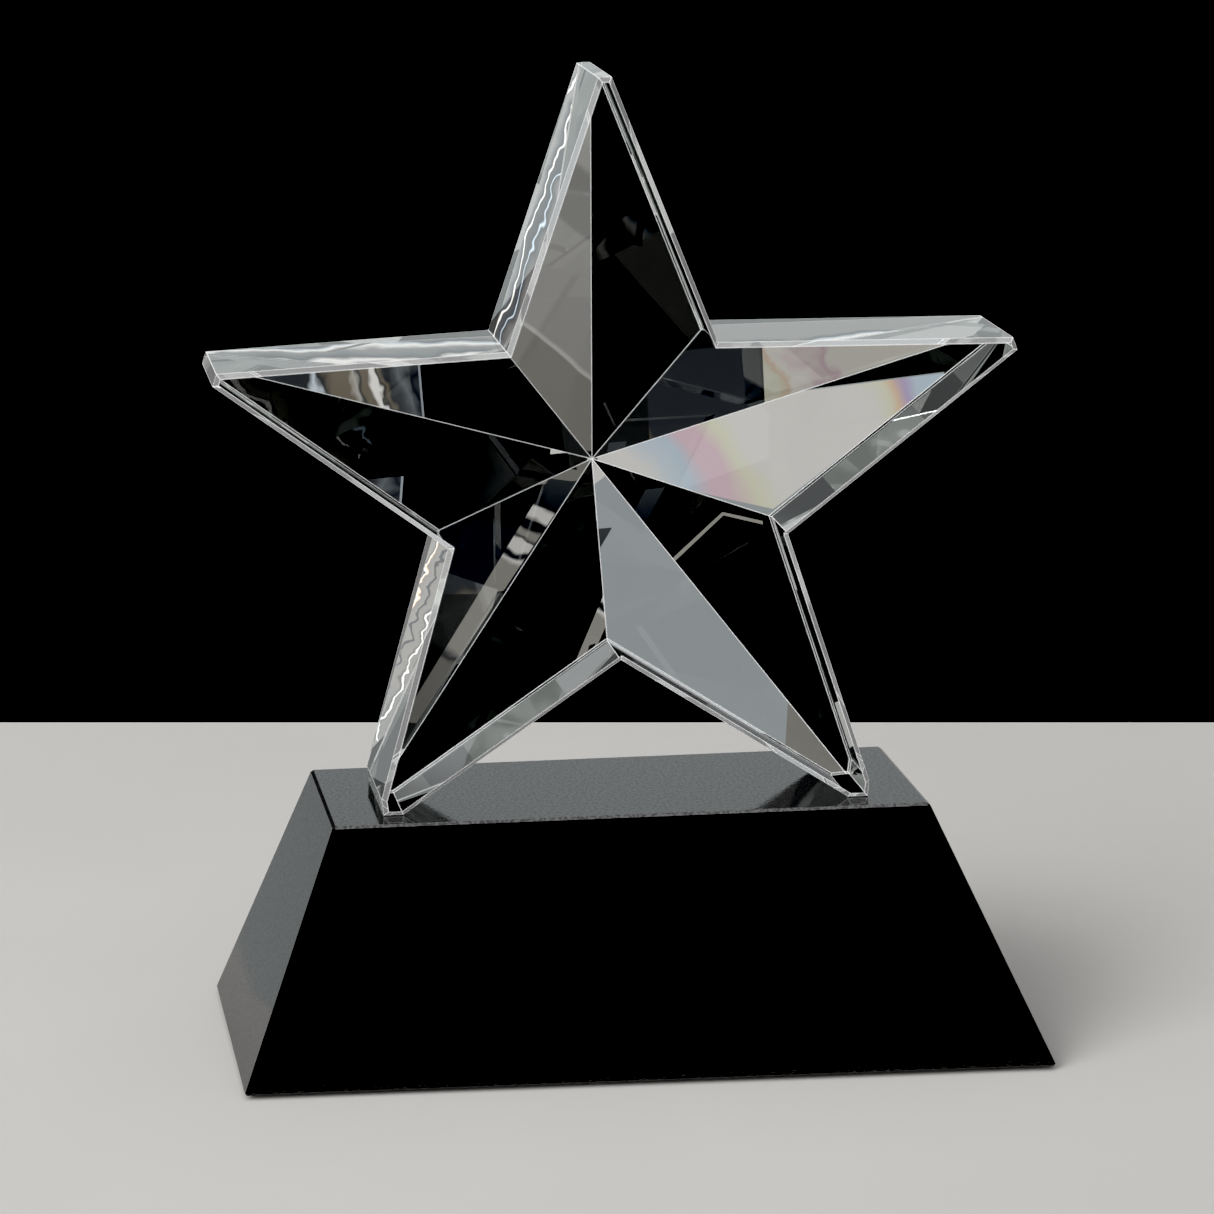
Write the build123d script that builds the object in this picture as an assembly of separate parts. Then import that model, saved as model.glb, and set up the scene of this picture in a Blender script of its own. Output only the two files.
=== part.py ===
from build123d import *
from math import cos, radians, sin
import os

# Crystal award: a clear five-pointed star glued by its two lower points to a black crystal block.
# Millimetres, +Z up. The origin is on the table, under the middle of the block. The star's flat
# face looks along -Y, and its ten back facets rise to one apex towards +Y.

# ---------------------------------------------------------------- driving dimensions
BASE_TOP_WIDTH = 127.0        # 5 in
BASE_BOTTOM_WIDTH = 172.0
BASE_HEIGHT = 55.0
BASE_TOP_DEPTH = 38.0         # 1.5 in
BASE_BOTTOM_DEPTH = 61.0
BASE_EDGE_BEVEL = 0.5         # polished bevel on every edge of the block

PAD_THICKNESS = 1.0           # felt under the block
PAD_INSET = 3.0               # from the block's lower edges
PAD_CORNER_RADIUS = 4.0

STAR_POINT_RADIUS = 93.0      # centre to a point, if the point were sharp
STAR_NOTCH_RADIUS = 38.0      # centre to the inner corner between two arms
STAR_CENTRE_HEIGHT = 70.5     # above the soles of the star's feet
STAR_WALL_DEPTH = 24.0        # front to the back of the side walls
STAR_APEX_RISE = 17.5         # from the back of the side walls to the apex
STAR_SETBACK = 4.5            # star's flat face behind the top front edge of the block
FRONT_BEVEL = 1.0             # polished bevel round the flat face
REAR_BEVEL = 0.4              # polished bevel where the side walls meet the back facets
POINT_CUT = 4.0               # length ground off each of the three free points
FOOT_CORNER_HEIGHT = 3.5      # outer corner ground off each foot: up its outer wall
FOOT_CORNER_WIDTH = 1.4       # and in along its sole

BOND_THICKNESS = 0.2          # cured adhesive film under each foot

ARMS = 5
ARM_STEP = 360.0 / ARMS
HALF_STEP = ARM_STEP / 2

# ---------------------------------------------------------------- derived levels
base_underside = PAD_THICKNESS
base_top = base_underside + BASE_HEIGHT
star_sole = base_top + BOND_THICKNESS
star_centre = star_sole + STAR_CENTRE_HEIGHT
star_front = -BASE_TOP_DEPTH / 2 + STAR_SETBACK


# ---------------------------------------------------------------- geometry in the star's own plane
# A point is (x, z) with the star's centre at (0, 0). Depth is measured back from the flat face.

def polar(radius, direction):
    return Vector(radius * cos(radians(direction)), radius * sin(radians(direction)))


def cross(a, b):
    return a.X * b.Y - a.Y * b.X


def along(start, end, distance):
    """The point at a distance from start, on the way to end."""
    return start + (end - start).normalized() * distance


def at_height(start, end, z):
    """The point of the line start-end that lies at height z."""
    return start + (end - start) * ((z - start.Y) / (end.Y - start.Y))


def inset(loop, distance):
    """The anticlockwise loop moved inwards by a distance, with mitred corners."""
    moved = []
    for here, corner in enumerate(loop):
        arriving = (corner - loop[here - 1]).normalized()
        leaving = (loop[(here + 1) % len(loop)] - corner).normalized()
        inward_a = Vector(-arriving.Y, arriving.X)
        inward_b = Vector(-leaving.Y, leaving.X)
        mitre = (inward_a + inward_b) / (1 + inward_a.dot(inward_b))
        moved.append(corner + mitre * distance)
    return moved


def arm_directions():
    """Anticlockwise, from the right arm."""
    return [90.0 + ARM_STEP * (arm - 1) for arm in range(ARMS)]


def arm_end(direction):
    """The wall corners at the end of one arm, anticlockwise.

    A free point is cut square to its arm. A foot is cut level where it stands on the block, and
    its outer corner is ground off.
    """
    point = polar(STAR_POINT_RADIUS, direction)
    before = polar(STAR_NOTCH_RADIUS, direction - HALF_STEP)
    after = polar(STAR_NOTCH_RADIUS, direction + HALF_STEP)
    sole = -STAR_CENTRE_HEIGHT
    if point.Y > sole:
        cut = POINT_CUT * (before - point).length / (point - before).dot(polar(1, direction))
        return [along(point, before, cut), along(point, after, cut)]
    left_foot = point.X < 0
    outer, inner = (before, after) if left_foot else (after, before)
    step_in = Vector(FOOT_CORNER_WIDTH if left_foot else -FOOT_CORNER_WIDTH, 0)
    corners = [
        at_height(point, outer, sole + FOOT_CORNER_HEIGHT),
        at_height(point, outer, sole) + step_in,
        at_height(point, inner, sole),
    ]
    return corners if left_foot else list(reversed(corners))


def ray_crossing(start, end, direction):
    """Where the edge start-end crosses the ray from the centre."""
    ray = polar(1, direction)
    share = cross(start, ray) / cross(start - end, ray)
    return start + (end - start) * share


def back_depth(point, ridge, valley):
    """Depth of the facet between a ridge and a valley, over a point of the star's plane."""
    tip = polar(STAR_POINT_RADIUS, ridge)
    side = polar(STAR_NOTCH_RADIUS, valley) - tip
    outward_share = cross(point, side) / cross(tip, side)
    return STAR_WALL_DEPTH + STAR_APEX_RISE * (1 - outward_share)


# ---------------------------------------------------------------- the pieces

def star_outline():
    """The star's corners, anticlockwise. A corner is its point and the ridge and valley beside it."""
    outline = []
    for direction in arm_directions():
        before, after = direction - HALF_STEP, direction + HALF_STEP
        for point in arm_end(direction):
            valley = after if cross(polar(1, direction), point) > 0 else before
            outline.append((point, direction, valley))
        outline.append((polar(STAR_NOTCH_RADIUS, after), direction, after))
    return outline


def make_star():
    """Flat face, front and rear bevels, side walls, cut ends and ten back facets."""

    def place(point, depth):
        return Vector(point.X, star_front + depth, star_centre + point.Y)

    # one point per corner on each of the four rings, from the flat face to the back facets
    outline = star_outline()
    count = len(outline)
    walls = [point for point, ridge, valley in outline]
    front = [place(point, 0) for point in inset(walls, FRONT_BEVEL)]
    front_rim = [place(point, FRONT_BEVEL) for point in walls]
    inner = inset(walls, REAR_BEVEL)
    rear_rim = []
    rear = []
    for point, inner_point, (_, ridge, valley) in zip(walls, inner, outline):
        rear_rim.append(place(point, back_depth(point, ridge, valley) - REAR_BEVEL))
        rear.append(place(inner_point, back_depth(inner_point, ridge, valley)))

    # walk round the star: each back facet starts at a valley and ends at a ridge, or the other way
    apex = place(Vector(0, 0), STAR_WALL_DEPTH + STAR_APEX_RISE)
    facet = [apex, rear[-1]]
    loops = [front]
    for here in range(count):
        there = (here + 1) % count
        ridge, valley = outline[here][1:]
        crosses_ridge = outline[there][1] == ridge and outline[there][2] != valley
        wall = [front_rim[here], front_rim[there], rear_rim[there], rear_rim[here]]
        facet.append(rear[here])
        if crosses_ridge and cross(polar(1, ridge), walls[here]) < 0:
            # the cut end of an arm, where the ridge runs out half way along the wall
            on_wall = ray_crossing(walls[here], walls[there], ridge)
            on_facet = ray_crossing(inner[here], inner[there], ridge)
            rim_end = place(on_wall, back_depth(on_wall, ridge, valley) - REAR_BEVEL)
            ridge_end = place(on_facet, back_depth(on_facet, ridge, valley))
            wall.insert(3, rim_end)
            loops.append([rear_rim[here], rim_end, ridge_end, rear[here]])
            loops.append([rim_end, rear_rim[there], rear[there], ridge_end])
            loops.append(facet + [ridge_end])
            facet = [apex, ridge_end]
        else:
            loops.append([rear_rim[here], rear_rim[there], rear[there], rear[here]])
        at_notch = walls[here].length < STAR_NOTCH_RADIUS * 1.001
        if at_notch:
            loops.append(facet)
            facet = [apex, rear[here]]
        loops.append(wall)
        loops.append([front[here], front[there], front_rim[there], front_rim[here]])
    return Solid(Shell([Face(Wire.make_polygon(loop, close=True)) for loop in loops]))


def make_base():
    """The black block: a frustum, wider and deeper at the bottom, with all its edges bevelled."""
    bottom = Plane.XY.offset(base_underside) * Rectangle(BASE_BOTTOM_WIDTH, BASE_BOTTOM_DEPTH)
    top = Plane.XY.offset(base_top) * Rectangle(BASE_TOP_WIDTH, BASE_TOP_DEPTH)
    block = loft([bottom.face(), top.face()])
    return chamfer(block.edges(), BASE_EDGE_BEVEL)


def make_pad():
    """Thin felt, cut a little smaller than the block's underside."""
    sheet = RectangleRounded(BASE_BOTTOM_WIDTH - 2 * PAD_INSET, BASE_BOTTOM_DEPTH - 2 * PAD_INSET,
                             PAD_CORNER_RADIUS)
    return extrude(sheet, PAD_THICKNESS)


def make_bond(star, side):
    """The adhesive film under one foot, with the foot's own footprint. side is -1 left, 1 right."""
    soles = star.faces().group_by(Axis.Z)[0]
    sole = soles.sort_by(Axis.X)[0 if side < 0 else -1]
    return extrude(sole, BOND_THICKNESS, dir=(0, 0, -1))


# ---------------------------------------------------------------- write the pieces
os.makedirs("parts", exist_ok=True)

star = make_star()
pieces = {
    "crystal_star": star,
    "crystal_base": make_base(),
    "bond_left": make_bond(star, -1),
    "bond_right": make_bond(star, 1),
    "base_pad": make_pad(),
}
for name, piece in pieces.items():
    export_step(piece, f"parts/{name}.step")
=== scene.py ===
from math import cos, radians, sin

import bpy
from mathutils import Matrix, Vector


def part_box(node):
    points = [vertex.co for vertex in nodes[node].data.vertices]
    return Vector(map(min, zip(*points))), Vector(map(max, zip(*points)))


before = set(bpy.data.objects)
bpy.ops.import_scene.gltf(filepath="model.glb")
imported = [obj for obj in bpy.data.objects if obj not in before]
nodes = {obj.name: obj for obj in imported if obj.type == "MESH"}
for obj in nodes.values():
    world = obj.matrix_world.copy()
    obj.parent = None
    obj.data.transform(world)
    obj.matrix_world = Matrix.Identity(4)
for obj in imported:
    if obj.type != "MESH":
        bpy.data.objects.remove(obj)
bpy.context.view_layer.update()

# The crystal award: a clear star bonded by its two feet to a black crystal block with a felt pad.
# Metres, +Z up, in the frame's own axes. The star's flat face looks along -Y.
#
# A facet of the star shows whatever stands where it bends the view to. So in the photograph's own
# view black flags and lit cards stand round the star, as in a photo studio. Other views leave
# them out.

star_low, star_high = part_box("crystal_star")
base_low, base_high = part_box("crystal_base")
MM = 0.001
STAR_CENTRE_HEIGHT = 70.5 * MM   # above the soles of the star's feet


# ---------------------------------------------------------------- node helpers

def new_material(name):
    """An empty node material and its tree."""
    material = bpy.data.materials.new(name)
    material.use_nodes = True
    material.node_tree.nodes.clear()
    return material, material.node_tree


def finished(material, shader):
    """The material, with the shader on its surface."""
    output = material.node_tree.nodes.new("ShaderNodeOutputMaterial")
    material.node_tree.links.new(shader, output.inputs["Surface"])
    return material


def plug(tree, socket, value):
    """Links value to the socket if it is a socket, and otherwise sets it."""
    if isinstance(value, bpy.types.NodeSocket):
        tree.links.new(value, socket)
    else:
        socket.default_value = value


def add(tree, kind, **inputs):
    """A node with some of its inputs set by name."""
    node = tree.nodes.new(kind)
    for name, value in inputs.items():
        plug(tree, node.inputs[name.replace("_", " ")], value)
    return node


def maths(tree, operation, first, second=0.0):
    node = tree.nodes.new("ShaderNodeMath")
    node.operation = operation
    plug(tree, node.inputs[0], first)
    plug(tree, node.inputs[1], second)
    return node.outputs[0]


def ramp(tree, value, low, high, to_low=0.0, to_high=1.0):
    """A smooth step from to_low to to_high as value goes from low to high."""
    node = tree.nodes.new("ShaderNodeMapRange")
    node.interpolation_type = "SMOOTHSTEP"
    for name, setting in (("Value", value), ("From Min", low), ("From Max", high),
                          ("To Min", to_low), ("To Max", to_high)):
        plug(tree, node.inputs[name], setting)
    return node.outputs["Result"]


def dot_product(tree, first, second):
    node = tree.nodes.new("ShaderNodeVectorMath")
    node.operation = "DOT_PRODUCT"
    plug(tree, node.inputs[0], first)
    plug(tree, node.inputs[1], second)
    return node.outputs["Value"]


def surface(tree, name):
    """One of the outputs that describe the point being shaded."""
    return tree.nodes.new("ShaderNodeNewGeometry").outputs[name]


def ray(tree, name):
    """One of the outputs that describe the ray that has reached the point."""
    return tree.nodes.new("ShaderNodeLightPath").outputs[name]


def noise(tree, per_metre, **settings):
    """A cloudy value round 0.5 that comes and goes so many times per metre."""
    clouds = add(tree, "ShaderNodeTexNoise", Vector=surface(tree, "Position"), Scale=per_metre, **settings)
    return clouds.outputs["Fac"]


def colour_ramp(tree, value, stops):
    """The colour at value. A stop is a value from 0 to 1 and its colour."""
    node = tree.nodes.new("ShaderNodeValToRGB")
    tree.links.new(value, node.inputs[0])
    elements = node.color_ramp.elements
    while len(elements) < len(stops):
        elements.new(1.0)
    for element, (place, colour) in zip(elements, stops):
        element.position = place
        element.color = colour
    return node.outputs[0]


def blend_shaders(tree, share, first, second):
    """The first shader where share is 0 and the second where it is 1."""
    node = tree.nodes.new("ShaderNodeMixShader")
    plug(tree, node.inputs[0], share)
    tree.links.new(first, node.inputs[1])
    tree.links.new(second, node.inputs[2])
    return node.outputs[0]


def grey(value):
    return (value, value, value, 1)


# Ray Depth is 0 on the star's outside, 1 on its inside and 2 beyond it, and 1 more for each
# reflection on the way. These lie between two depths.
BEFORE_REFLECTIONS = 1.5
STRAIGHT_THROUGH = 2.5
MANY_TURNS = 5.5


# ---------------------------------------------------------------- the object's materials

CRYSTAL_IOR = 1.52
CRYSTAL_TINT = (0.985, 0.992, 0.99, 1)
CRYSTAL_SHADOW = 0.93          # share of light that falls through the crystal to the floor
ARRIS_WIDTH = 0.34 * MM        # the ground line left where two polished faces meet
ARRIS_TURN = (0.998, 0.98)     # cosines between which the rounded normal counts as an edge
BEVEL_LEAN = 0.7               # cosine between a bevel and the flat face
SPECK_SPACING = 7 * MM
SPECK_SIZE = 0.13 * MM
SPECK_CHOICE = (0.5, 0.7)      # between these shares of the spots a speck fades in
ARRIS_COVER = 0.95             # how much of the glass the marks hide: edge lines,
BEVEL_COVER = 0.22             # bevels
SPECK_COVER = 0.5              # and specks
GROUND_WHITENESS = 0.95
# painted glow on the ground lines and specks, standing for light that reaches them from inside the crystal
GATHERED_LIGHT = 0.35          # stands for light that reaches the ground lines from inside the crystal
# painted glow and painted glints where rays have turned many times inside the crystal
LOST_LIGHT = 0.23              # stands for light that has been turned inside the crystal many times
LOST_FLASH = 0.25              # and its brightest glints
LOST_TINT = (0.97, 1.0, 0.96, 1)
LOST_MOTTLE = 0.2              # share by which it varies
LOST_MOTTLE_PER_METRE = 70.0
FLASH_RANGE = (0.63, 0.69)     # noise values between which a glint fades in
NOISE_RANGE = (0.35, 0.65)     # nearly all noise values lie in it

GRAIN_PER_METRE = 1500.0       # of the black crystal
GRAIN_HEIGHT = 0.05 * MM
GRAIN_ROUGHNESS = (0.02, 0.05)
GRAIN_SHINE = (0.32, 0.70)


def arris_mask(tree):
    """1 on the narrow lines where faces meet, 0 on the faces."""
    rounded = add(tree, "ShaderNodeBevel", Radius=ARRIS_WIDTH)
    rounded.samples = 4
    agreement = dot_product(tree, rounded.outputs[0], surface(tree, "True Normal"))
    return ramp(tree, agreement, *ARRIS_TURN)


def bevel_mask(tree):
    """1 on the bevels, whose normals lie half way between a wall and the front or back, 0 elsewhere."""
    lean = maths(tree, "ABSOLUTE", dot_product(tree, surface(tree, "True Normal"), (0, 1, 0)))
    above = ramp(tree, lean, BEVEL_LEAN - 0.15, BEVEL_LEAN - 0.10)
    below = ramp(tree, lean, BEVEL_LEAN + 0.15, BEVEL_LEAN + 0.10)
    return maths(tree, "MULTIPLY", above, below)


def speck_mask(tree):
    """1 on a few tiny specks of dust, 0 elsewhere."""
    cells = add(tree, "ShaderNodeTexVoronoi", Vector=surface(tree, "Position"), Scale=1 / SPECK_SPACING)
    near = ramp(tree, cells.outputs["Distance"], SPECK_SIZE / SPECK_SPACING, 0.0)
    chosen = ramp(tree, dot_product(tree, cells.outputs["Color"], (1, 0, 0)), *SPECK_CHOICE)
    return maths(tree, "MULTIPLY", near, chosen)


def mark_cover(tree):
    """How much of the glass its marks hide.

    The marks show on the surface and straight through the crystal, and are left out of the rays
    that have already been reflected inside it.
    """
    lines = maths(tree, "MAXIMUM", maths(tree, "MULTIPLY", arris_mask(tree), ARRIS_COVER),
                  maths(tree, "MULTIPLY", bevel_mask(tree), BEVEL_COVER))
    marks = maths(tree, "MAXIMUM", lines, maths(tree, "MULTIPLY", speck_mask(tree), SPECK_COVER))
    seen_direct = maths(tree, "LESS_THAN", ray(tree, "Ray Depth"), BEFORE_REFLECTIONS)
    return maths(tree, "MULTIPLY", marks, seen_direct)


def ground_glass_and_painted_glow(tree):
    """White, lit from either side, with a painted glow that stands for light gathered from inside the
    crystal.
    """
    scattered = add(tree, "ShaderNodeBsdfDiffuse", Color=grey(GROUND_WHITENESS))
    let_through = add(tree, "ShaderNodeBsdfTranslucent", Color=grey(GROUND_WHITENESS))
    frosted = blend_shaders(tree, 0.5, scattered.outputs[0], let_through.outputs[0])
    painted_glow = add(tree, "ShaderNodeEmission", Color=grey(1.0), Strength=GATHERED_LIGHT)
    both = tree.nodes.new("ShaderNodeAddShader")
    tree.links.new(frosted, both.inputs[0])
    tree.links.new(painted_glow.outputs[0], both.inputs[1])
    return both.outputs[0]


def lost_light(tree):
    """A painted mottled glow, with painted glints, in place of what a ray would meet after many turns
    inside the crystal.
    """
    mottle = noise(tree, LOST_MOTTLE_PER_METRE, Detail=2.0)
    dimmest, brightest = LOST_LIGHT * (1 - LOST_MOTTLE), LOST_LIGHT * (1 + LOST_MOTTLE)
    strength = ramp(tree, mottle, *NOISE_RANGE, dimmest, brightest)
    flash = ramp(tree, mottle, *FLASH_RANGE, 0.0, LOST_FLASH)
    glow = add(tree, "ShaderNodeEmission", Color=LOST_TINT, Strength=maths(tree, "ADD", strength, flash))
    return glow.outputs[0]


def clear_crystal():
    """Polished glass with finely ground bevels and edge lines and a few specks of dust, all with a painted
    glow, and a painted mottled glow where a ray has turned many times inside.
    """
    material, tree = new_material("clear_crystal")
    glass = add(tree, "ShaderNodeBsdfGlass", Color=CRYSTAL_TINT, Roughness=0.0, IOR=CRYSTAL_IOR)
    solid = blend_shaders(tree, mark_cover(tree), glass.outputs[0], ground_glass_and_painted_glow(tree))
    turned = maths(tree, "GREATER_THAN", ray(tree, "Ray Depth"), MANY_TURNS)
    solid = blend_shaders(tree, turned, solid, lost_light(tree))
    clear = add(tree, "ShaderNodeBsdfTransparent", Color=grey(CRYSTAL_SHADOW))
    return finished(material, blend_shaders(tree, ray(tree, "Is Shadow Ray"), solid, clear.outputs[0]))


def black_crystal():
    """Opaque black crystal whose polish has a fine grain in its height, gloss and shine."""
    material, tree = new_material("black_crystal")
    grain = noise(tree, GRAIN_PER_METRE, Detail=2.0)
    bump = add(tree, "ShaderNodeBump", Height=grain, Strength=0.35, Distance=GRAIN_HEIGHT)
    roughness = ramp(tree, grain, 0.3, 0.7, *GRAIN_ROUGHNESS)
    shine = ramp(tree, grain, 0.4, 0.6, *GRAIN_SHINE)
    shader = add(tree, "ShaderNodeBsdfPrincipled", Base_Color=grey(0.001), Roughness=roughness, IOR=1.6,
                 Specular_IOR_Level=shine, Normal=bump.outputs[0])
    return finished(material, shader.outputs[0])


def clear_adhesive():
    """Cured clear adhesive, slightly uneven."""
    material, tree = new_material("clear_adhesive")
    waves = noise(tree, 600.0)
    bump = add(tree, "ShaderNodeBump", Height=waves, Strength=0.2, Distance=0.1 * MM)
    shader = add(tree, "ShaderNodeBsdfGlass", Color=grey(0.97), Roughness=0.05, IOR=1.5,
                 Normal=bump.outputs[0])
    return finished(material, shader.outputs[0])


def black_felt():
    """Matt black felt: matted fibres and a faint sheen."""
    material, tree = new_material("black_felt")
    fibres = noise(tree, 900.0, Detail=6.0, Distortion=2.0)
    shades = colour_ramp(tree, fibres, [(0, grey(0.008)), (1, grey(0.04))])
    bump = add(tree, "ShaderNodeBump", Height=fibres, Strength=0.6, Distance=0.3 * MM)
    shader = add(tree, "ShaderNodeBsdfPrincipled", Base_Color=shades, Roughness=0.95,
                 Sheen_Weight=0.4, Sheen_Roughness=0.5, Normal=bump.outputs[0])
    return finished(material, shader.outputs[0])


def dress(node, material):
    piece = nodes[node]
    if not piece.material_slots:
        piece.data.materials.append(material)
    for slot in piece.material_slots:
        slot.material = material


adhesive = clear_adhesive()
dress("crystal_star", clear_crystal())
dress("crystal_base", black_crystal())
dress("bond_left", adhesive)
dress("bond_right", adhesive)
dress("base_pad", black_felt())


# ---------------------------------------------------------------- camera
# Fitted to the photograph, with a shifted lens.

CAMERA_PLACE = Vector((-0.1541, -0.779, 0.332))
CAMERA_AZIMUTH = radians(-2.70)
CAMERA_ELEVATION = radians(6.70)
CAMERA_ROLL = radians(-3.27)
CAMERA_LENS = 107.44
CAMERA_SHIFT = (0.7471, -0.5)
SENSOR = 36.0

forward = Vector((sin(CAMERA_AZIMUTH) * cos(CAMERA_ELEVATION),
                  cos(CAMERA_AZIMUTH) * cos(CAMERA_ELEVATION), -sin(CAMERA_ELEVATION)))
level_up = Vector((sin(CAMERA_AZIMUTH) * sin(CAMERA_ELEVATION),
                   cos(CAMERA_AZIMUTH) * sin(CAMERA_ELEVATION), cos(CAMERA_ELEVATION)))
level_right = forward.cross(level_up)
right = level_right * cos(CAMERA_ROLL) + level_up * sin(CAMERA_ROLL)
up = level_up * cos(CAMERA_ROLL) - level_right * sin(CAMERA_ROLL)


def only_in_own_view(owner, channel, there, elsewhere):
    """Gives the channel one value while the camera stands in its own place, and another elsewhere."""
    driver = owner.driver_add(channel).driver
    driver.type = "SCRIPTED"
    place = driver.variables.new()
    place.name = "place"
    place.type = "TRANSFORMS"
    place.targets[0].id = bpy.context.scene.camera
    place.targets[0].transform_type = "LOC_X"
    place.targets[0].transform_space = "WORLD_SPACE"
    driver.expression = f"{there} if abs(place - {CAMERA_PLACE.x}) < {MM} else {elsewhere}"


def make_camera():
    lens = bpy.data.cameras.new("camera")
    lens.sensor_width = SENSOR
    lens.lens = CAMERA_LENS
    camera = bpy.data.objects.new("camera", lens)
    bpy.context.collection.objects.link(camera)
    turned = Matrix((right, up, -forward)).transposed().to_4x4()
    camera.matrix_world = Matrix.Translation(CAMERA_PLACE) @ turned
    bpy.context.scene.camera = camera
    only_in_own_view(lens, "shift_x", CAMERA_SHIFT[0], 0)
    only_in_own_view(lens, "shift_y", CAMERA_SHIFT[1], 0)


def seen_on_floor(across, down):
    """The floor point seen at a share of the picture's width and height."""
    sideways = (across - 0.5 + CAMERA_SHIFT[0]) * SENSOR / CAMERA_LENS
    upwards = (0.5 - down + CAMERA_SHIFT[1]) * SENSOR / CAMERA_LENS
    direction = forward + right * sideways + up * upwards
    return CAMERA_PLACE - direction * (CAMERA_PLACE.z / direction.z)


make_camera()


# ---------------------------------------------------------------- stage: floor and backdrop

EVERY_RAY = ("camera", "diffuse", "glossy", "transmission", "volume_scatter", "shadow")
TO_CAMERA = ("camera",)
IN_CRYSTAL = ("transmission",)             # met only by rays that have passed into the crystal
IN_POLISH = ("glossy",)                    # met only by rays mirrored in a polished face
FLOOR_REACH = 30.0
TABLE_EDGE = 0.595                         # how far down the picture the floor meets the backdrop
BACKDROP_REACH = 1.5
BACKDROP_HEIGHT = 1.0


def sheet(name, corners, material, seen_by=EVERY_RAY):
    """A flat four-cornered stage piece. seen_by names the kinds of ray that meet it.

    A piece that not every ray meets is there in the photograph's own view only.
    """
    mesh = bpy.data.meshes.new(name)
    mesh.from_pydata(corners, [], [(0, 1, 2, 3)])
    mesh.materials.append(material)
    piece = bpy.data.objects.new(name, mesh)
    bpy.context.collection.objects.link(piece)
    for kind in EVERY_RAY:
        setattr(piece, "visible_" + kind, kind in seen_by)
    if seen_by != EVERY_RAY:
        only_in_own_view(piece, "hide_render", 0, 1)


def level_sheet(name, left, right_side, front, back, height, material, seen_by=EVERY_RAY):
    corners = [(left, front, height), (right_side, front, height),
               (right_side, back, height), (left, back, height)]
    sheet(name, corners, material, seen_by)


def floor_material():
    """Plain pale card with a faint mottle."""
    material, tree = new_material("pale_floor")
    tints = [(0, (0.43, 0.42, 0.405, 1)), (1, (0.47, 0.46, 0.445, 1))]
    tint = colour_ramp(tree, noise(tree, 9.0, Detail=3.0), tints)
    shader = add(tree, "ShaderNodeBsdfDiffuse", Color=tint, Roughness=0.6)
    return finished(material, shader.outputs[0])


def backdrop_material():
    """Black from the front and clear from behind."""
    material, tree = new_material("backdrop")
    black = add(tree, "ShaderNodeEmission", Color=grey(0.0), Strength=0.0)
    clear = add(tree, "ShaderNodeBsdfTransparent", Color=grey(1.0))
    both = blend_shaders(tree, surface(tree, "Backfacing"), black.outputs[0], clear.outputs[0])
    return finished(material, both)


def make_backdrop():
    """A wall that only the camera sees, standing where the floor ends in the picture."""
    edge_left = seen_on_floor(0, TABLE_EDGE)
    edge_right = seen_on_floor(1, TABLE_EDGE)
    reach = (edge_right - edge_left).normalized() * BACKDROP_REACH
    rise = Vector((0, 0, BACKDROP_HEIGHT))
    left_foot, right_foot = edge_left - reach, edge_right + reach
    sheet("backdrop", [left_foot, right_foot, right_foot + rise, left_foot + rise],
          backdrop_material(), TO_CAMERA)


level_sheet("floor", -FLOOR_REACH, FLOOR_REACH, -FLOOR_REACH, FLOOR_REACH, 0, floor_material())
make_backdrop()


# ---------------------------------------------------------------- stage: light for flags and cards

OFF_WHITE = (1.0, 0.97, 0.93)
WARM_GREY = (0.90, 0.86, 0.78)
COLD_GREY = (0.80, 0.88, 0.95)
NIGHT = (0.022, 0.025, 0.032)
BROWN = (0.19, 0.155, 0.115)
BLUE = (0.72, 0.84, 0.95)
PINK = (0.95, 0.72, 0.79)
YELLOW = (0.98, 0.96, 0.76)
ORANGE = (1.0, 0.74, 0.55)
VIOLET = (0.68, 0.56, 0.80)


def shaded(colour, brightness):
    return tuple(channel * brightness for channel in colour)


def straight_through(tree, strength):
    """The strength for rays that have only crossed the star, and 0 for rays reflected inside it."""
    crossed = maths(tree, "LESS_THAN", ray(tree, "Ray Depth"), STRAIGHT_THROUGH)
    return maths(tree, "MULTIPLY", crossed, strength)


def light_material(name, colour, strength):
    """Light of one colour."""
    material, tree = new_material(name)
    shader = add(tree, "ShaderNodeEmission", Color=(*colour, 1), Strength=straight_through(tree, strength))
    return finished(material, shader.outputs[0])


def colour_run(name, origin, direction, stops, ripple, ripple_size, strength, raggedness=1.0,
               ghosts=False):
    """Light whose colour runs through the stops, with wavy borders.

    A stop is a distance in millimetres from the origin along the direction, and a colour. The
    borders wander by the ripple, also in millimetres. With ghosts, the light is also seen in
    reflections inside the star.
    """
    material, tree = new_material(name)
    waves = noise(tree, 1 / (ripple_size * MM), Detail=raggedness)
    wander = maths(tree, "MULTIPLY", maths(tree, "SUBTRACT", waves, 0.5), ripple)
    from_world = dot_product(tree, surface(tree, "Position"), Vector(direction) / MM)
    from_origin = maths(tree, "SUBTRACT", from_world, Vector(origin).dot(Vector(direction)) / MM)
    place = maths(tree, "ADD", from_origin, wander)
    start, end = stops[0][0], stops[-1][0]
    share = maths(tree, "DIVIDE", maths(tree, "SUBTRACT", place, start), end - start)
    shares = [((distance - start) / (end - start), (*colour, 1)) for distance, colour in stops]
    seen = strength if ghosts else straight_through(tree, strength)
    shader = add(tree, "ShaderNodeEmission", Color=colour_ramp(tree, share, shares), Strength=seen)
    return finished(material, shader.outputs[0])


# ---------------------------------------------------------------- stage: flags and cards
# They stand behind the star, seen through it. The flags decide which facets look black, and the
# cards what is seen in the others. Outlines are in millimetres to the right of and above the hub,
# the point where the ten back facets meet.

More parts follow.
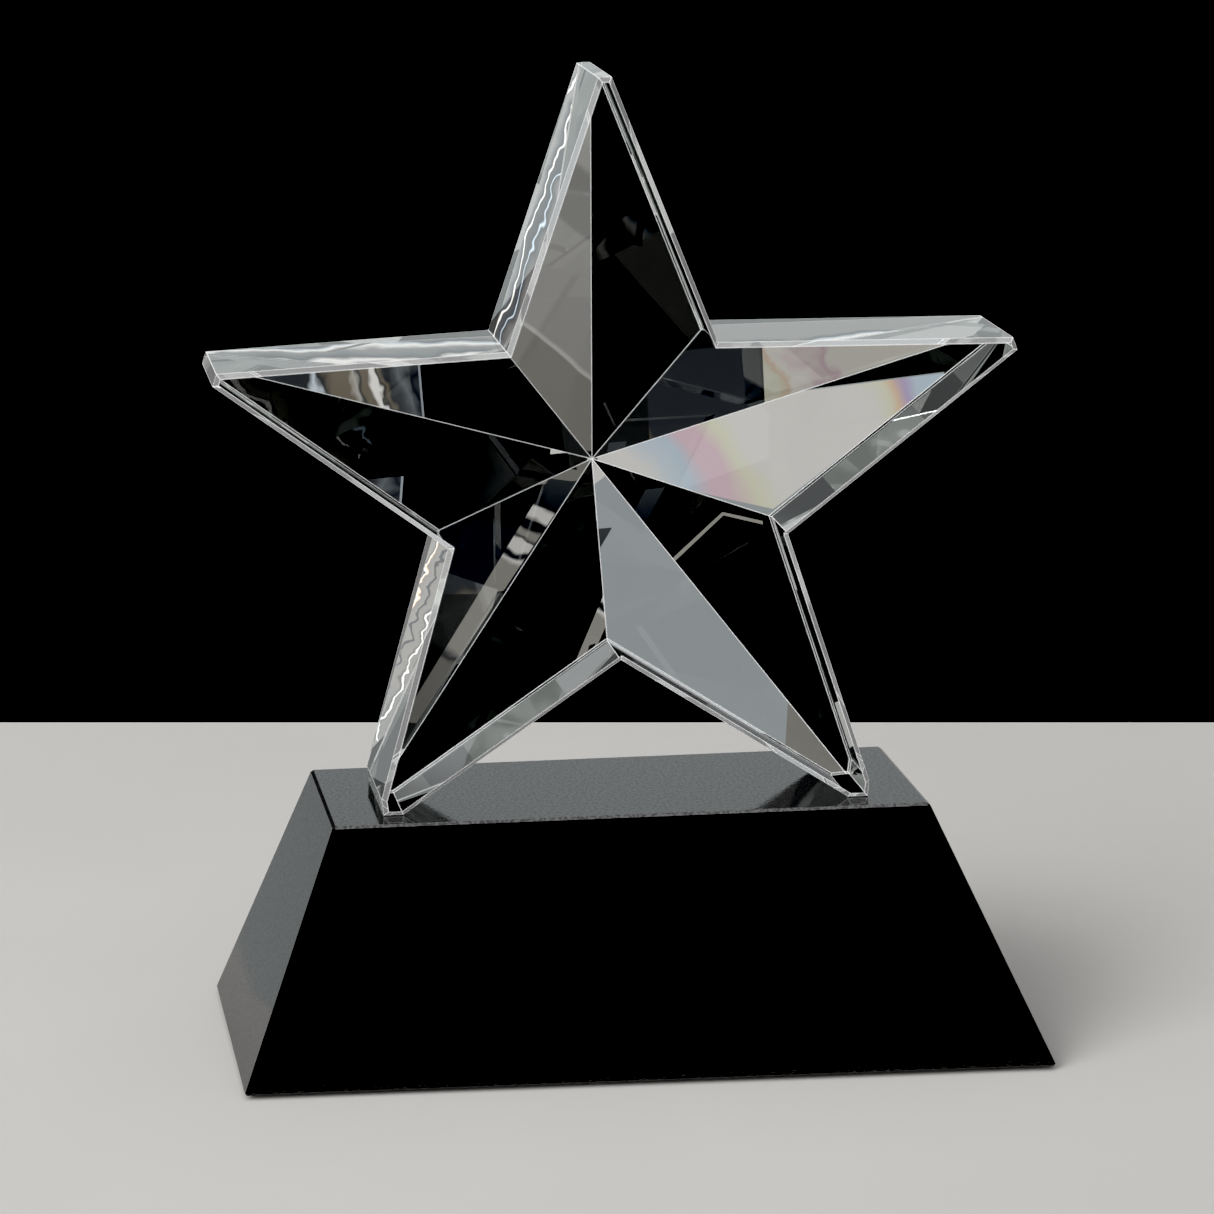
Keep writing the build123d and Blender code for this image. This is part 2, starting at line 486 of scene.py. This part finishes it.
HUB = Vector((0, star_high.y, star_low.z + STAR_CENTRE_HEIGHT))
AT_HUB, NEAR, MIDDLE, FAR = 3, 18, 93, 173   # millimetres behind the hub
IN_FRONT = -1                  # how much nearer the star an overlapping piece stands
WIDE_LEFT = -200
TOP = 93                       # where most of them end above,
GROUND = -HUB.z / MM           # and below, on the floor
flag_black = light_material("flag_black", (0, 0, 0), 0.0)


def card(name, outline, behind, material):
    """A sheet that faces the star, some millimetres behind the hub."""
    corners = [HUB + Vector((x, behind, z)) * MM for x, z in outline]
    sheet(name, corners, material, IN_CRYSTAL)


def oblong(left, right_side, bottom, top):
    return [(left, bottom), (right_side, bottom), (right_side, top), (left, top)]


def flag(name, outline, behind):
    card(name, outline, behind, flag_black)


def place_flags():
    """Each blacks out what is seen in one facet, or in part of one."""
    flag("flag_hub", oblong(-20, 0.3, -4.5, 1.8), AT_HUB)
    flag("flag_left_arm", oblong(-120, -1, -22, TOP), NEAR - IN_FRONT)
    flag("flag_heart", oblong(-1, 6.5, -27, -20), NEAR - IN_FRONT)
    flag("flag_top_arm", oblong(WIDE_LEFT, 18, 4, TOP), MIDDLE)
    flag("flag_top_notch", oblong(WIDE_LEFT, 3, -22, 4), MIDDLE)
    flag("flag_middle", oblong(WIDE_LEFT, 36, GROUND, -22), MIDDLE)
    flag("flag_right_foot", [(36, GROUND), (67, GROUND), (67, -59), (36, -39)], MIDDLE)
    flag("flag_far_low", oblong(WIDE_LEFT, 35, GROUND, -20), FAR + IN_FRONT)
    flag("flag_far_left", oblong(WIDE_LEFT, 4.5, -20, TOP), FAR + IN_FRONT)
    flag("flag_above_white", [(0, 4.8), (94.5, 16.6), (94.5, TOP), (0, TOP)], FAR + IN_FRONT)
    flag("flag_right_tip", oblong(94.5, 118, -15, TOP), FAR + IN_FRONT)
    flag("flag_far_right", oblong(122, 160, GROUND, -96), FAR + IN_FRONT)


def place_facet_cards():
    """The white right arm, the grey right foot and the banded left side of the top arm."""
    pastels = [(0, OFF_WHITE), (8, OFF_WHITE), (13, COLD_GREY), (19, BLUE), (25, PINK), (31, PINK),
               (37, YELLOW), (44, OFF_WHITE), (80, OFF_WHITE), (85, YELLOW), (88, ORANGE),
               (91, VIOLET), (94, BLUE), (110, BLUE)]
    white = colour_run("card_white", HUB, (1, 0, 0.6), pastels, ripple=14, ripple_size=16, strength=0.55)
    card("card_white", [(3, -8), (49, -19), (96.5, 16.5), (3, 5)], FAR, white)
    card("card_grey", oblong(0, 122, GROUND, TOP), FAR - IN_FRONT,
         light_material("card_grey", (0.91, 0.98, 1.0), 0.315))
    bands = [(-140, shaded(WARM_GREY, 0.24)), (-66.5, shaded(WARM_GREY, 0.24)),
             (-65.8, shaded(OFF_WHITE, 0.45)), (-65.2, shaded(OFF_WHITE, 0.45)),
             (-64.5, shaded(OFF_WHITE, 0.28)), (-27, shaded(OFF_WHITE, 0.30)),
             (-26, shaded(OFF_WHITE, 0.22)), (-8, shaded(OFF_WHITE, 0.22)),
             (-6, shaded(OFF_WHITE, 0.34)), (60, shaded(OFF_WHITE, 0.34))]
    bands_start = HUB + Vector((138, 0, 0)) * MM
    banded = colour_run("card_bands", bands_start, (0.85, 0, 1), bands,
                        ripple=2, ripple_size=12, strength=0.9)
    card("card_bands", oblong(122, 165, GROUND, TOP), FAR - IN_FRONT, banded)


def place_ridge_card():
    """Small wavy streaks seen along the ridge of the left foot."""
    foot = HUB + Vector((-19, NEAR, -74.7)) * MM
    beige = shaded(WARM_GREY, 0.5)
    ridge = [(0, shaded(WARM_GREY, 0.22)), (17, shaded(WARM_GREY, 0.25)), (18.5, NIGHT), (20, beige),
             (43, beige), (44.5, OFF_WHITE), (45.5, NIGHT), (46.5, NIGHT), (47.5, OFF_WHITE),
             (49.5, OFF_WHITE), (50.2, NIGHT), (51, beige), (52, beige), (52.8, NIGHT), (55, NIGHT),
             (56, OFF_WHITE), (58, OFF_WHITE), (59, NIGHT), (69, shaded(COLD_GREY, 0.1))]
    streaks = colour_run("card_ridge", foot, (0.45, 0, 0.89), ridge,
                         ripple=6, ripple_size=5, strength=0.52, raggedness=2.0)
    card("card_ridge", [(-20.5, -74.7), (-18, -74.7), (12.5, -15), (8.5, -15)], NEAR, streaks)
    flag("flag_ridge_hole", [(-4.6, -47), (-3.4, -46), (-1.4, -41), (-2.9, -41.5)], NEAR + IN_FRONT)


def place_tip_card():
    """Wavy streaks seen in the tip of the left arm, and the pale line where they end."""
    tip_end = -32.2
    line_width = 0.5
    bottom = -14
    tip_start = HUB + Vector((-75, NEAR, 0)) * MM
    swirl = [(10, NIGHT), (16, NIGHT), (18, COLD_GREY), (19.5, NIGHT), (22, BROWN), (26, BROWN),
             (27, shaded(WARM_GREY, 0.6)), (28, NIGHT), (29, BROWN), (31, BROWN), (31.8, OFF_WHITE),
             (32.8, OFF_WHITE), (33.3, NIGHT), (34, BROWN), (34.8, NIGHT), (37, shaded(COLD_GREY, 0.08)),
             (39, shaded(COLD_GREY, 0.2)), (41, NIGHT), (43.2, shaded(COLD_GREY, 0.1))]
    swirls = colour_run("card_swirl", tip_start, (1, 0, 0.2), swirl,
                        ripple=8, ripple_size=5, strength=0.7, raggedness=2.0)
    card("card_swirl", oblong(-70, tip_end, bottom, 0), NEAR, swirls)
    card("card_swirl_edge", oblong(tip_end, tip_end + line_width, bottom, 0), NEAR,
         light_material("card_swirl_edge", COLD_GREY, 0.35))


def place_line_cards():
    """The bent pale line under the right arm."""
    pale_line = light_material("card_line", WARM_GREY, 0.30)
    card("card_line_left", [(6.5, -60), (7.2, -60.7), (18.2, -50.6), (18, -49.7)],
         MIDDLE + IN_FRONT, pale_line)
    card("card_line_right", [(18.2, -50.6), (27, -54), (27, -53.1), (18, -49.7)],
         MIDDLE + IN_FRONT, pale_line)


def place_dim_card():
    """Dim brown shapes low down on the right."""
    dim = [(-90, BROWN), (-80, shaded(BROWN, 0.3)), (-76, shaded(ORANGE, 0.4)), (-74, NIGHT),
           (-71, BROWN), (-68, NIGHT), (-60, NIGHT)]
    dim_brown = colour_run("card_dim", HUB, (0.3, 0, 1), dim, ripple=18, ripple_size=9, strength=0.55)
    card("card_dim", oblong(37, 66, -84, -64), MIDDLE + IN_FRONT, dim_brown)


place_flags()
place_facet_cards()
place_ridge_card()
place_tip_card()
place_line_cards()
place_dim_card()


# ---------------------------------------------------------------- stage: level flags and cards

LIFT = MM                      # how far above the floor, or above the block, they lie


def place_beige_card():
    """Pastel swirls seen through the right arm's upper facet, with a dark end."""
    dusk = shaded(COLD_GREY, 0.095)
    beige = [(0, dusk), (9, dusk), (10, NIGHT), (11, COLD_GREY), (12, dusk), (14, dusk), (17, BLUE),
             (20, PINK), (24, shaded(WARM_GREY, 0.7)), (29, shaded(PINK, 0.9)), (32, WARM_GREY),
             (40, shaded(YELLOW, 0.8)), (43, shaded(ORANGE, 0.8)), (46, WARM_GREY),
             (56, shaded(PINK, 0.8)), (60, WARM_GREY), (90, WARM_GREY)]
    swirled = colour_run("card_beige", (0.072, 0, 0), (1, 0.15, 0), beige,
                         ripple=30, ripple_size=8, strength=0.5, raggedness=3.0)
    level_sheet("card_beige", left=0.04, right_side=0.20, front=0.15, back=0.24, height=LIFT,
                material=swirled, seen_by=IN_CRYSTAL)


def place_wall_cards():
    """Streaks seen through the side walls."""
    wall = [(-16, shaded(OFF_WHITE, 0.2)), (-8, shaded(OFF_WHITE, 0.13)), (-5, NIGHT), (-4.4, BLUE),
            (-3.8, NIGHT), (-1, shaded(COLD_GREY, 0.07)), (0, NIGHT), (0.5, OFF_WHITE),
            (1.1, OFF_WHITE), (1.5, NIGHT), (3, shaded(COLD_GREY, 0.13)), (5, shaded(OFF_WHITE, 0.23)),
            (8, shaded(OFF_WHITE, 0.26)), (8.6, shaded(BLUE, 0.13)), (9.2, OFF_WHITE), (10, OFF_WHITE),
            (10.6, shaded(COLD_GREY, 0.1)), (12, shaded(OFF_WHITE, 0.26)), (16, shaded(OFF_WHITE, 0.26)),
            (16.6, shaded(BLUE, 0.07)), (17.6, shaded(BLUE, 0.1)), (18.4, shaded(OFF_WHITE, 0.3)),
            (22, shaded(OFF_WHITE, 0.24)), (22.6, ORANGE), (23.4, OFF_WHITE), (24, shaded(BLUE, 0.1)),
            (25, shaded(OFF_WHITE, 0.3)), (30, shaded(OFF_WHITE, 0.3))]
    across_wall = (-0.31, 0.95, 0)
    wall_streaks = colour_run("card_wall", (0.160, 0.087, 0), across_wall, wall,
                              ripple=16, ripple_size=18, strength=1.7, raggedness=2.0, ghosts=True)
    sheet("card_wall", [(0.12, 0.055, LIFT), (0.33, 0.12, LIFT), (0.31, 0.19, LIFT), (0.12, 0.13, LIFT)],
          wall_streaks, IN_CRYSTAL)
    upper = [(40, shaded(OFF_WHITE, 0.21)), (54, shaded(OFF_WHITE, 0.18)), (57, OFF_WHITE), (59, NIGHT),
             (60.5, shaded(COLD_GREY, 0.12)), (64, shaded(OFF_WHITE, 0.21)), (66, OFF_WHITE),
             (67, shaded(BLUE, 0.6)), (68, NIGHT), (70, shaded(OFF_WHITE, 0.21)),
             (90, shaded(OFF_WHITE, 0.21))]
    upper_streaks = colour_run("card_upper_wall", (0, 0, 0), (0.05, 1, 0), upper,
                               ripple=14, ripple_size=14, strength=1.0, raggedness=2.0, ghosts=True)
    level_sheet("card_upper_wall", left=-0.05, right_side=0.10, front=0.04, back=0.10, height=LIFT,
                material=upper_streaks, seen_by=IN_CRYSTAL)


def place_foreground_flags():
    """Black cloths in front of the object, and a strip on the block in front of the star."""
    apron_back = base_low.y - 0.6 * MM
    level_sheet("flag_apron", -FLOOR_REACH, FLOOR_REACH, -FLOOR_REACH, apron_back, LIFT,
                flag_black, IN_CRYSTAL)
    cloth_back = -0.10
    level_sheet("flag_front", -FLOOR_REACH, FLOOR_REACH, -FLOOR_REACH, cloth_back, LIFT,
                flag_black, IN_POLISH)
    strip_reach = 0.065
    level_sheet("flag_block_edge", -strip_reach, strip_reach, star_low.y - 7 * MM, star_low.y - 0.3 * MM,
                star_low.z + LIFT, flag_black, IN_CRYSTAL)


def place_block_cards():
    """Grey cards mirrored in the block's left side and in its top."""
    level_sheet("card_block_side", left=-0.40, right_side=-0.10, front=0.05, back=0.40, height=LIFT,
                material=light_material("card_block_side", (0.95, 1, 1), 0.47), seen_by=IN_POLISH)
    behind, left, right_side, bottom, top = 0.30, -0.10, 0.25, 0.08, 0.30
    sheet("card_block_top", [(x, behind, z) for x, z in oblong(left, right_side, bottom, top)],
          light_material("card_block_top", (0.93, 0.99, 1), 0.84), IN_POLISH)


place_beige_card()
place_wall_cards()
place_foreground_flags()
place_block_cards()


# ---------------------------------------------------------------- light

# soft lamps that only the crystal sees: azimuth, elevation and half-width in degrees, brightness
LAMPS = ((13, 22, 8, 1.2), (8, 9, 8, 0.35), (-15, -3, 9, 0.35), (-59, 20, 12, 0.22), (-44, 60, 14, 0.9),
         (104, 44, 13, 0.30), (134, 36, 12, 0.60), (163, 47, 13, 0.50), (33, 30, 8, 0.30))
LAMP_CORE, LAMP_EDGE = 0.75, 1.25   # shares of the half-width between which a lamp fades out
ROOM = 0.10                    # brightness between the lamps
FILL = 0.30                    # even light for matt surfaces
SURROUNDINGS = 0.12            # what the camera sees past the floor, away from its own place
SKY_TINT = (0.97, 0.98, 1.0, 1)
CUT_BLACK = 0.016              # anything darker is black, as in the photo


def lamp_light(tree, towards):
    """The brightness of the dark room and its lamps in a direction."""
    brightness = ROOM
    for azimuth, elevation, half_width, lamp_brightness in LAMPS:
        axis = (sin(radians(azimuth)) * cos(radians(elevation)),
                cos(radians(azimuth)) * cos(radians(elevation)), sin(radians(elevation)))
        facing = dot_product(tree, towards, axis)
        lamp = ramp(tree, facing, cos(radians(half_width * LAMP_EDGE)),
                    cos(radians(half_width * LAMP_CORE)), 0.0, lamp_brightness)
        brightness = maths(tree, "ADD", brightness, lamp)
    return brightness


def studio_world():
    """An even fill for matt surfaces, and soft lamps in a dark room for crystal and polish.

    The camera sees none of it: black from its own place, and plain grey from any other.
    """
    world = bpy.data.worlds.new("studio")
    bpy.context.scene.world = world
    world.use_nodes = True
    tree = world.node_tree
    tree.nodes.clear()
    output = tree.nodes.new("ShaderNodeOutputWorld")
    towards = tree.nodes.new("ShaderNodeTexCoord").outputs["Generated"]
    is_matt = ray(tree, "Is Diffuse Ray")
    matt = maths(tree, "MULTIPLY", is_matt, FILL)
    not_matt = maths(tree, "SUBTRACT", 1.0, is_matt)
    light = maths(tree, "ADD", matt, maths(tree, "MULTIPLY", lamp_light(tree, towards), not_matt))
    is_camera = ray(tree, "Is Camera Ray")
    unseen = maths(tree, "MULTIPLY", light, maths(tree, "SUBTRACT", 1.0, is_camera))
    surroundings = tree.nodes.new("ShaderNodeValue").outputs[0]
    only_in_own_view(surroundings, "default_value", 0, SURROUNDINGS)
    seen = maths(tree, "MULTIPLY", surroundings, is_camera)
    background = add(tree, "ShaderNodeBackground", Color=SKY_TINT,
                     Strength=maths(tree, "ADD", unseen, seen))
    tree.links.new(background.outputs[0], output.inputs["Surface"])


def softbox(name, place, width, height, power):
    """A lamp that faces the star's middle and makes no image inside the crystal."""
    light = bpy.data.lights.new(name, "AREA")
    light.shape = "RECTANGLE"
    light.size = width
    light.size_y = height
    light.energy = power
    holder = bpy.data.objects.new(name, light)
    bpy.context.collection.objects.link(holder)
    holder.location = place
    holder.rotation_euler = (HUB - Vector(place)).to_track_quat("-Z", "Y").to_euler()
    holder.visible_transmission = False


def cut_blacks():
    settings = bpy.context.scene.view_settings
    settings.view_transform = "Standard"
    settings.use_curve_mapping = True
    settings.curve_mapping.black_level = (CUT_BLACK, CUT_BLACK, CUT_BLACK)
    settings.curve_mapping.update()


studio_world()
softbox("overhead", (0.0, -0.1, 1.2), width=1.2, height=0.9, power=7)
softbox("key", (-0.9, -0.7, 0.8), width=0.9, height=0.9, power=18)
cut_blacks()
